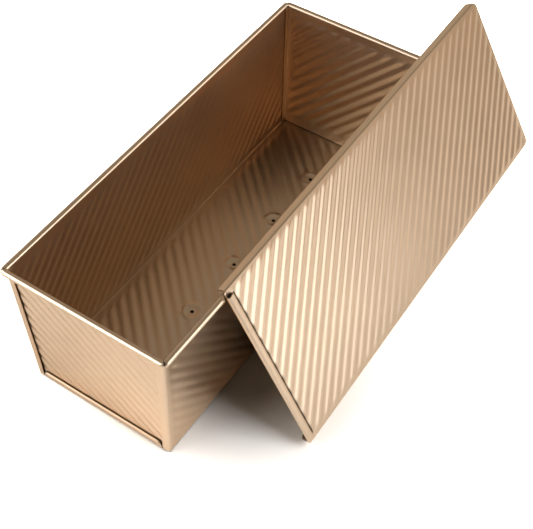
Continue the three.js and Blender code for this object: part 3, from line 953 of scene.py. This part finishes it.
def mixed(tree, kind, factor, first, second, way="MIX"):
    """Two numbers (FLOAT) or two colours (RGBA) mixed or multiplied."""
    node = tree.nodes.new("ShaderNodeMix")
    node.data_type = kind
    node.blend_type = way
    first_place, second_place, result = MIX_SOCKETS[kind]
    feed(tree, factor, node.inputs["Factor"])
    feed(tree, first, node.inputs[first_place])
    feed(tree, second, node.inputs[second_place])
    return node.outputs[result]


def worked_out(tree, operation, first, second):
    """The result of a sum, difference or product of two numbers."""
    node = tree.nodes.new("ShaderNodeMath")
    node.operation = operation
    feed(tree, first, node.inputs[0])
    feed(tree, second, node.inputs[1])
    return node.outputs["Value"]


def spread(tree, source, start, end, low, high, curve="LINEAR"):
    """Numbers from start to end spread over low to high."""
    node = tree.nodes.new("ShaderNodeMapRange")
    node.interpolation_type = curve
    ends = (("From Min", start), ("From Max", end), ("To Min", low), ("To Max", high))
    for socket, value in ends:
        node.inputs[socket].default_value = value
    tree.links.new(source, node.inputs["Value"])
    return node.outputs["Result"]


def vector_measure(tree, operation, source, fixed):
    """The distance or the dot product between a moving vector and a fixed one."""
    node = tree.nodes.new("ShaderNodeVectorMath")
    node.operation = operation
    node.inputs[1].default_value = fixed
    tree.links.new(source, node.inputs[0])
    return node.outputs["Value"]


print("helpers for", ", ".join(MIX_SOCKETS), "mixes are ready")

# %% [markdown]
# ## The worn coat, with painted shade
# The sheet has a champagne-gold non-stick coat. It is sprayed on and baked, so close up it has a
# fine orange-peel grain, from farther off it is faintly cloudy, and use has left tiny dark
# scuffs. One flat colour would look like plastic, and a picture of a coat would repeat. Noises
# give all of it without a seam. The sheets and the wire share them and a painted shade in gaps,
# so they are a node group, built once. Its inputs are the plain colour, how dull the surface is
# and how open the place is. It puts out a colour with the painted shade in it, and a roughness
# and a normal, all of which change over the surface.

# %% Worn and shaded metal group
GROUP_SOCKETS = (
    ("Colour", "NodeSocketColor", "INPUT"),
    ("Dullness", "NodeSocketFloat", "INPUT"),
    ("Openness", "NodeSocketFloat", "INPUT"),
    ("Colour", "NodeSocketColor", "OUTPUT"),
    ("Roughness", "NodeSocketFloat", "OUTPUT"),
    ("Normal", "NodeSocketVector", "OUTPUT"),
)

worn_and_shaded_metal = bpy.data.node_groups.new("worn_and_shaded_metal", "ShaderNodeTree")
for socket, kind, way in GROUP_SOCKETS:
    worn_and_shaded_metal.interface.new_socket(socket, in_out=way, socket_type=kind)
group_in = worn_and_shaded_metal.nodes.new("NodeGroupInput").outputs
group_out = worn_and_shaded_metal.nodes.new("NodeGroupOutput").inputs
object_place = worn_and_shaded_metal.nodes.new("ShaderNodeTexCoord").outputs["Object"]
print("group sockets:", [socket for socket, kind, way in GROUP_SOCKETS])

# %% [markdown]
# The grain is the bumpy skin of a sprayed coat, the clouds are where it is thicker or thinner,
# and the scuffs are pinpoints where it has rubbed through. Grain and clouds change the roughness
# too, because a perfectly even gleam looks like glass. The noises read the object's coordinates
# and not an unwrapped map, so that their scale is the same on every piece, however it is cut.

# %% Grain, clouds and scuffs
GRAIN_SCALE, CLOUD_SCALE, SCUFF_SCALE = 1500.0, 14.0, 420.0
FEW_OCTAVES, MANY_OCTAVES = 3.0, 6.0
MIDDLE_OF_NOISE, TOP_OF_NOISE = (0.3, 0.7), (0.66, 0.74)
CLOUD_SHADES, SCUFF_SHARE = (0.95, 1.03), (0.0, 0.25)
GRAIN_DULLNESS, CLOUD_DULLNESS = (-0.03, 0.03), (-0.015, 0.02)
SCUFF_COLOUR = (0.42, 0.30, 0.20, 1)


def noise(scale, detail):
    """A noise over the object's own coordinates, in repeats for each metre."""
    texture = worn_and_shaded_metal.nodes.new("ShaderNodeTexNoise")
    texture.inputs["Scale"].default_value = scale
    texture.inputs["Detail"].default_value = detail
    worn_and_shaded_metal.links.new(object_place, texture.inputs["Vector"])
    return texture.outputs["Fac"]


grain = noise(GRAIN_SCALE, FEW_OCTAVES)
cloud = noise(CLOUD_SCALE, FEW_OCTAVES)
scuff = noise(SCUFF_SCALE, MANY_OCTAVES)
cloud_shade = spread(worn_and_shaded_metal, cloud, *MIDDLE_OF_NOISE, *CLOUD_SHADES)
cloudy = mixed(worn_and_shaded_metal, "RGBA", 1.0, group_in["Colour"], cloud_shade, "MULTIPLY")
scuff_share = spread(worn_and_shaded_metal, scuff, *TOP_OF_NOISE, *SCUFF_SHARE)
scuffed = mixed(worn_and_shaded_metal, "RGBA", scuff_share, cloudy, SCUFF_COLOUR)
grain_dullness = spread(worn_and_shaded_metal, grain, *MIDDLE_OF_NOISE, *GRAIN_DULLNESS)
cloud_dullness = spread(worn_and_shaded_metal, cloud, *MIDDLE_OF_NOISE, *CLOUD_DULLNESS)
unevenness = worked_out(worn_and_shaded_metal, "ADD", grain_dullness, cloud_dullness)
roughness = worked_out(worn_and_shaded_metal, "ADD", group_in["Dullness"], unevenness)
worn_and_shaded_metal.links.new(roughness, group_out["Roughness"])
print("noise scales:", GRAIN_SCALE, CLOUD_SCALE, SCUFF_SCALE)

# %% [markdown]
# Where two sheets meet, the real pan has thin dark lines, where little light gets in. Clean metal
# shows them too faintly in a render, so shade is painted into the colour itself: it turns dark
# where a place is less open, and on the lid's marked seam. The grain's height goes to a Bump
# node, since grain made of real faces would need millions of them.

# %% Painted shade in gaps, and grain height
GAP_CLOSED, GAP_OPEN, GAP_DARKEST = 0.25, 0.72, 0.12
GRAIN_HEIGHT, GRAIN_STRENGTH = 0.0002, 0.07

# Painted shade: the colour turns dark where a place is less open and on the lid's marked seam.
marked = worn_and_shaded_metal.nodes.new("ShaderNodeAttribute")
marked.attribute_name = "seam_shade"
outside_seam_shade = worked_out(worn_and_shaded_metal, "SUBTRACT", 1.0, marked.outputs["Fac"])
painted_gap_shade = spread(worn_and_shaded_metal, group_in["Openness"], GAP_CLOSED, GAP_OPEN, GAP_DARKEST, 1.0)
shade = worked_out(worn_and_shaded_metal, "MULTIPLY", outside_seam_shade, painted_gap_shade)
shaded = mixed(worn_and_shaded_metal, "RGBA", 1.0, scuffed, shade, "MULTIPLY")
worn_and_shaded_metal.links.new(shaded, group_out["Colour"])

bump = worn_and_shaded_metal.nodes.new("ShaderNodeBump")
bump.inputs["Strength"].default_value = GRAIN_STRENGTH
bump.inputs["Distance"].default_value = GRAIN_HEIGHT
worn_and_shaded_metal.links.new(grain, bump.inputs["Height"])
worn_and_shaded_metal.links.new(bump.outputs["Normal"], group_out["Normal"])
print("the worn metal group has", len(worn_and_shaded_metal.nodes), "nodes")

# %% [markdown]
# ## Coating and wire
# The coat has the look of metal, as from fine flakes in it. A coloured plastic with a clear coat
# over it would have white gleams, and the real ones are warm. So it is a metal with a fairly
# rough surface and a warm specular tint. The wire is plain drawn steel, dark from the oven, and
# shows only in the slits of the rim's corners. Ambient occlusion measures how open a place is
# within 3 mm and feeds the group, which paints shade from it into the colour. It stays in the
# material, because it is a measure of light.

# %% Coating and wire
CHAMPAGNE, CHAMPAGNE_DULLNESS = (0.68, 0.53, 0.39), 0.31
STEEL, STEEL_DULLNESS = (0.16, 0.14, 0.12), 0.3
WARM_EDGE = (1.0, 0.88, 0.77, 1)
GAP_REACH, GAP_RAYS = 0.003, 16


def metal(name, colour, dullness):
    """A metal whose colour with painted shade, roughness and grain come from the shared group."""
    material = bpy.data.materials.new(name)
    material.use_nodes = True
    nodes, links = material.node_tree.nodes, material.node_tree.links
    shader = nodes["Principled BSDF"]
    shader.inputs["Metallic"].default_value = 1.0
    shader.inputs["Specular Tint"].default_value = WARM_EDGE
    worn = nodes.new("ShaderNodeGroup")
    worn.node_tree = worn_and_shaded_metal
    worn.inputs["Colour"].default_value = (*colour, 1)
    worn.inputs["Dullness"].default_value = dullness
    # Ambient occlusion drives the painted shade in the group's colour.
    openness = nodes.new("ShaderNodeAmbientOcclusion")
    openness.samples = GAP_RAYS
    openness.inputs["Distance"].default_value = GAP_REACH
    links.new(openness.outputs["AO"], worn.inputs["Openness"])
    links.new(worn.outputs["Colour"], shader.inputs["Base Color"])
    links.new(worn.outputs["Roughness"], shader.inputs["Roughness"])
    links.new(worn.outputs["Normal"], shader.inputs["Normal"])
    return material


champagne = metal("champagne_coating", CHAMPAGNE, CHAMPAGNE_DULLNESS)
for piece in (body_sheet, near_panel, far_panel, lid):
    piece.data.materials.clear()
    piece.data.materials.append(champagne)
drawn_wire = metal("drawn_wire", STEEL, STEEL_DULLNESS)
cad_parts["rim_wire"].material_slots[0].material = drawn_wire
print("materials:", champagne.name, "and", drawn_wire.name)

# %% [markdown]
# ## The table
# The pan stands on a white table whose far edge isn't seen, so the table runs on until it is
# pure white. A curved paper sweep would hide its edge too, but only from one side, and one very
# large flat rectangle does it from all sides. It lies a hair below the pan, so that the two
# never share a plane.

# %% Table top
TABLE_HALF = 6.0
TABLE_DROP = -0.0002
CORNERS = ((-1, -1), (1, -1), (1, 1), (-1, 1))


def flat_stage(name, half_x, half_y, location):
    """A flat rectangle that belongs to the studio and not to the pan."""
    mesh = bpy.data.meshes.new(name)
    mesh.from_pydata([(x * half_x, y * half_y, 0) for x, y in CORNERS], [], [(0, 1, 2, 3)])
    stage = bpy.data.objects.new(name, mesh)
    stage.location = location
    bpy.context.collection.objects.link(stage)
    return stage


table_top = flat_stage("table_top", TABLE_HALF, TABLE_HALF, (0, 0, TABLE_DROP))
print("the table is", 2 * TABLE_HALF, "m square")

# %% [markdown]
# ## The table's paint, with painted shadow
# In a studio, strong lamps would bleach the table to white, but the extra light would bleach the
# pan as well. Here the light stays low and the paint does it: what the camera sees of it gets
# brighter with the distance from the middle of the shadow, and near that middle the paint is
# darker, as painted shadow. The metal mirrors a plainer white, with a dark spot of painted
# shadow in the gap under the lid, and bounced light meets a dull grey, so that the warm metal
# keeps its contrast. The Light Path node tells the three kinds of ray apart.

# %% What each ray sees of the table
SHADOW_MIDDLE, SHADOW_REACH, SHADOW_PAINT = (-0.11, -0.02, 0.0), (0.03, 0.4), (0.6, 8.0)
SHADOW_SPOT_MIDDLE, SHADOW_SPOT_REACH, SHADOW_SPOT_PAINT = (-0.08, -0.04, 0.0), (0.015, 0.045), (0.15, 1.5)
DULL_GREY = 0.3

white = bpy.data.materials.new("white_table")
white.use_nodes = True
paint_tree = white.node_tree
paint_tree.nodes.remove(paint_tree.nodes["Principled BSDF"])
paint = paint_tree.nodes.new("ShaderNodeBsdfDiffuse")
ray = paint_tree.nodes.new("ShaderNodeLightPath").outputs
table_place = paint_tree.nodes.new("ShaderNodeTexCoord").outputs["Object"]
# Painted shadow: darker paint near the shadow's middle, and a dark spot under the lid for metal.
from_shadow = vector_measure(paint_tree, "DISTANCE", table_place, SHADOW_MIDDLE)
from_shadow_spot = vector_measure(paint_tree, "DISTANCE", table_place, SHADOW_SPOT_MIDDLE)
seen_white_and_shadow = spread(paint_tree, from_shadow, *SHADOW_REACH, *SHADOW_PAINT)
mirrored_white_and_shadow = spread(paint_tree, from_shadow_spot, *SHADOW_SPOT_REACH, *SHADOW_SPOT_PAINT)
for_metal = mixed(paint_tree, "FLOAT", ray["Is Glossy Ray"], DULL_GREY, mirrored_white_and_shadow)
for_all = mixed(paint_tree, "FLOAT", ray["Is Camera Ray"], for_metal, seen_white_and_shadow)
paint_tree.links.new(for_all, paint.inputs["Color"])
paint_tree.links.new(paint.outputs["BSDF"], paint_tree.nodes["Material Output"].inputs["Surface"])
table_top.data.materials.append(white)
print("the table's paint gets whiter up to", SHADOW_REACH[1], "m from the shadow's middle")

# %% [markdown]
# ## Painted shadow under the pan
# Seen from above, the real vents are black dots, because the pan stands close to the table and
# no light gets below it. In the render the white paint would shine up through the holes. Dark
# discs could close them, but the real holes are open. So a black sheet lies under the pan
# instead, smaller than its base, as painted shadow. It is stage, like the table, and isn't part
# of the object.

# %% Painted shadow under the vents
SHADOW_SHEET_HALF = (0.15, 0.045)
SHADOW_SHEET_DROP = -0.1
SHADOW_SHEET_COLOUR = (0.01, 0.007, 0.005, 1)

# A black sheet as painted shadow, where no light gets under the pan.
painted_shadow_sheet = flat_stage("painted_shadow_sheet", *SHADOW_SHEET_HALF, to_metres((0, 0, SHADOW_SHEET_DROP)))
shadow_black = bpy.data.materials.new("painted_shadow_black")
shadow_black.use_nodes = True
shadow_sheet_shader = shadow_black.node_tree.nodes["Principled BSDF"]
shadow_sheet_shader.inputs["Base Color"].default_value = SHADOW_SHEET_COLOUR
shadow_sheet_shader.inputs["Roughness"].default_value = 1.0
painted_shadow_sheet.data.materials.append(shadow_black)
print("the felt is", [2 * half for half in SHADOW_SHEET_HALF], "m")

# %% [markdown]
# ## Lamps
# Bare lamps would put hard spots on a metal. Soft boxes, large rectangles of light, put long
# soft gleams on it. Three light everything: a large one from the left, a small one from the
# right and a weak warm one from the far right. A photographer would add strips of white card to
# bring out the rims and the inside. Each card would also change the table and the lid, so here
# light linking lets a lamp light only the pieces that are named with it.

# %% Lamps
PAN_MIDDLE, RIM_MIDDLE = (0, 0, 0.05), (0, 0, 0.1)
BESIDE_LID = (0.05, -0.45, 0)
NEAR_LEFT, FAR_RIGHT = (-1.0, 0.4, 0.72), (0.65, -0.9, 0.5)
PLAIN, WARM = (1.0, 1.0, 1.0), (1.0, 0.7, 0.48)
PAN_PIECES = (body_sheet, near_panel, far_panel)
LAMPS = (
    # name, place and target in metres, width and height, watts, colour, the only pieces it lights
    ("left_softbox", (-0.75, 0.75, 0.55), PAN_MIDDLE, (1.2, 0.8), 6.8, PLAIN, ()),
    ("right_softbox", (0.05, -1.0, 0.45), PAN_MIDDLE, (0.6, 0.6), 3.15, PLAIN, ()),
    ("far_softbox", FAR_RIGHT, PAN_MIDDLE, (0.7, 0.6), 0.6, WARM, ()),
    ("near_rim_softbox", NEAR_LEFT, RIM_MIDDLE, (1.2, 1.1), 9, PLAIN, (near_panel,)),
    ("inside_softbox", NEAR_LEFT, RIM_MIDDLE, (0.8, 0.6), 2.5, PLAIN, (body_sheet,)),
    ("far_end_softbox", (-1.0, 0.1, 0.25), (0.1, 0.03, 0.1), (0.5, 0.2), 1.8, PLAIN, (far_panel,)),
    ("side_rim_softbox", FAR_RIGHT, RIM_MIDDLE, (1.0, 0.7), 4.2, PLAIN, PAN_PIECES),
    ("near_table_softbox", (0.05, -0.7, 0.7), BESIDE_LID, (0.5, 0.5), 3.0, PLAIN, (table_top,)),
)


def softbox(name, place, target, size, power, colour, only):
    """A rectangle of light, which lights every piece or only those that are named."""
    data = bpy.data.lights.new(name, "AREA")
    data.shape = "RECTANGLE"
    data.size, data.size_y = size
    data.energy = power
    data.color = colour
    lamp = bpy.data.objects.new(name, data)
    lamp.location = place
    aim(lamp, Vector(target) - Vector(place))
    bpy.context.collection.objects.link(lamp)
    if only:
        lit = bpy.data.collections.new(name + "_lights")
        for piece in only:
            lit.objects.link(piece)
        lamp.light_linking.receiver_collection = lit


for lamp_values in LAMPS:
    softbox(*lamp_values)
limited = sum(1 for lamp_values in LAMPS if lamp_values[-1])
print(len(LAMPS), "lamps,", limited, "of them for named pieces only")

# %% [markdown]
# ## The room
# A metal shows what it mirrors, so the room matters as much as the lamps. A plain grey world
# makes every side of the pan alike. A picture of a real room would put its windows on the coat.
# Two smooth changes are enough: the room gets darker from the horizon up, and it is nearly black
# on the side that the right wall and the near end face, which keeps the pan's right side dark as
# a black cloth does in a studio. The camera sees plain white behind the table in any case.

# %% Room
HORIZON_HEIGHT, HORIZON_COLOUR = 0.05, (0.62, 0.54, 0.44, 1)
CEILING_HEIGHT, CEILING_COLOUR = 0.6, (0.32, 0.275, 0.22, 1)
BRIGHT_SIDE = (0.6, 0.8, 0.0)
DARK_UNTIL, LIGHT_FROM = -0.45, -0.05
DARK_SHARE, LIGHT_SHARE = 0.05, 1.0
WHITE = (1, 1, 1, 1)

room = bpy.data.worlds.new("studio_room")
bpy.context.scene.world = room
room.use_nodes = True
room_tree = room.node_tree
direction = room_tree.nodes.new("ShaderNodeTexCoord").outputs["Generated"]
height = room_tree.nodes.new("ShaderNodeSeparateXYZ")
room_tree.links.new(direction, height.inputs["Vector"])
walls = room_tree.nodes.new("ShaderNodeValToRGB")
low_stop, high_stop = walls.color_ramp.elements
low_stop.position, low_stop.color = HORIZON_HEIGHT, HORIZON_COLOUR
high_stop.position, high_stop.color = CEILING_HEIGHT, CEILING_COLOUR
room_tree.links.new(height.outputs["Z"], walls.inputs["Fac"])
toward_light = vector_measure(room_tree, "DOT_PRODUCT", direction, BRIGHT_SIDE)
light_share = spread(room_tree, toward_light, DARK_UNTIL, LIGHT_FROM, DARK_SHARE, LIGHT_SHARE,
                     "SMOOTHSTEP")
dimmed = mixed(room_tree, "RGBA", 1.0, walls.outputs["Color"], light_share, "MULTIPLY")
is_camera = room_tree.nodes.new("ShaderNodeLightPath").outputs["Is Camera Ray"]
background = mixed(room_tree, "RGBA", is_camera, dimmed, WHITE)
room_tree.links.new(background, room_tree.nodes["Background"].inputs["Color"])
bpy.context.scene.view_settings.view_transform = "Standard"
print("the room's dark side has", DARK_SHARE, "of the light")
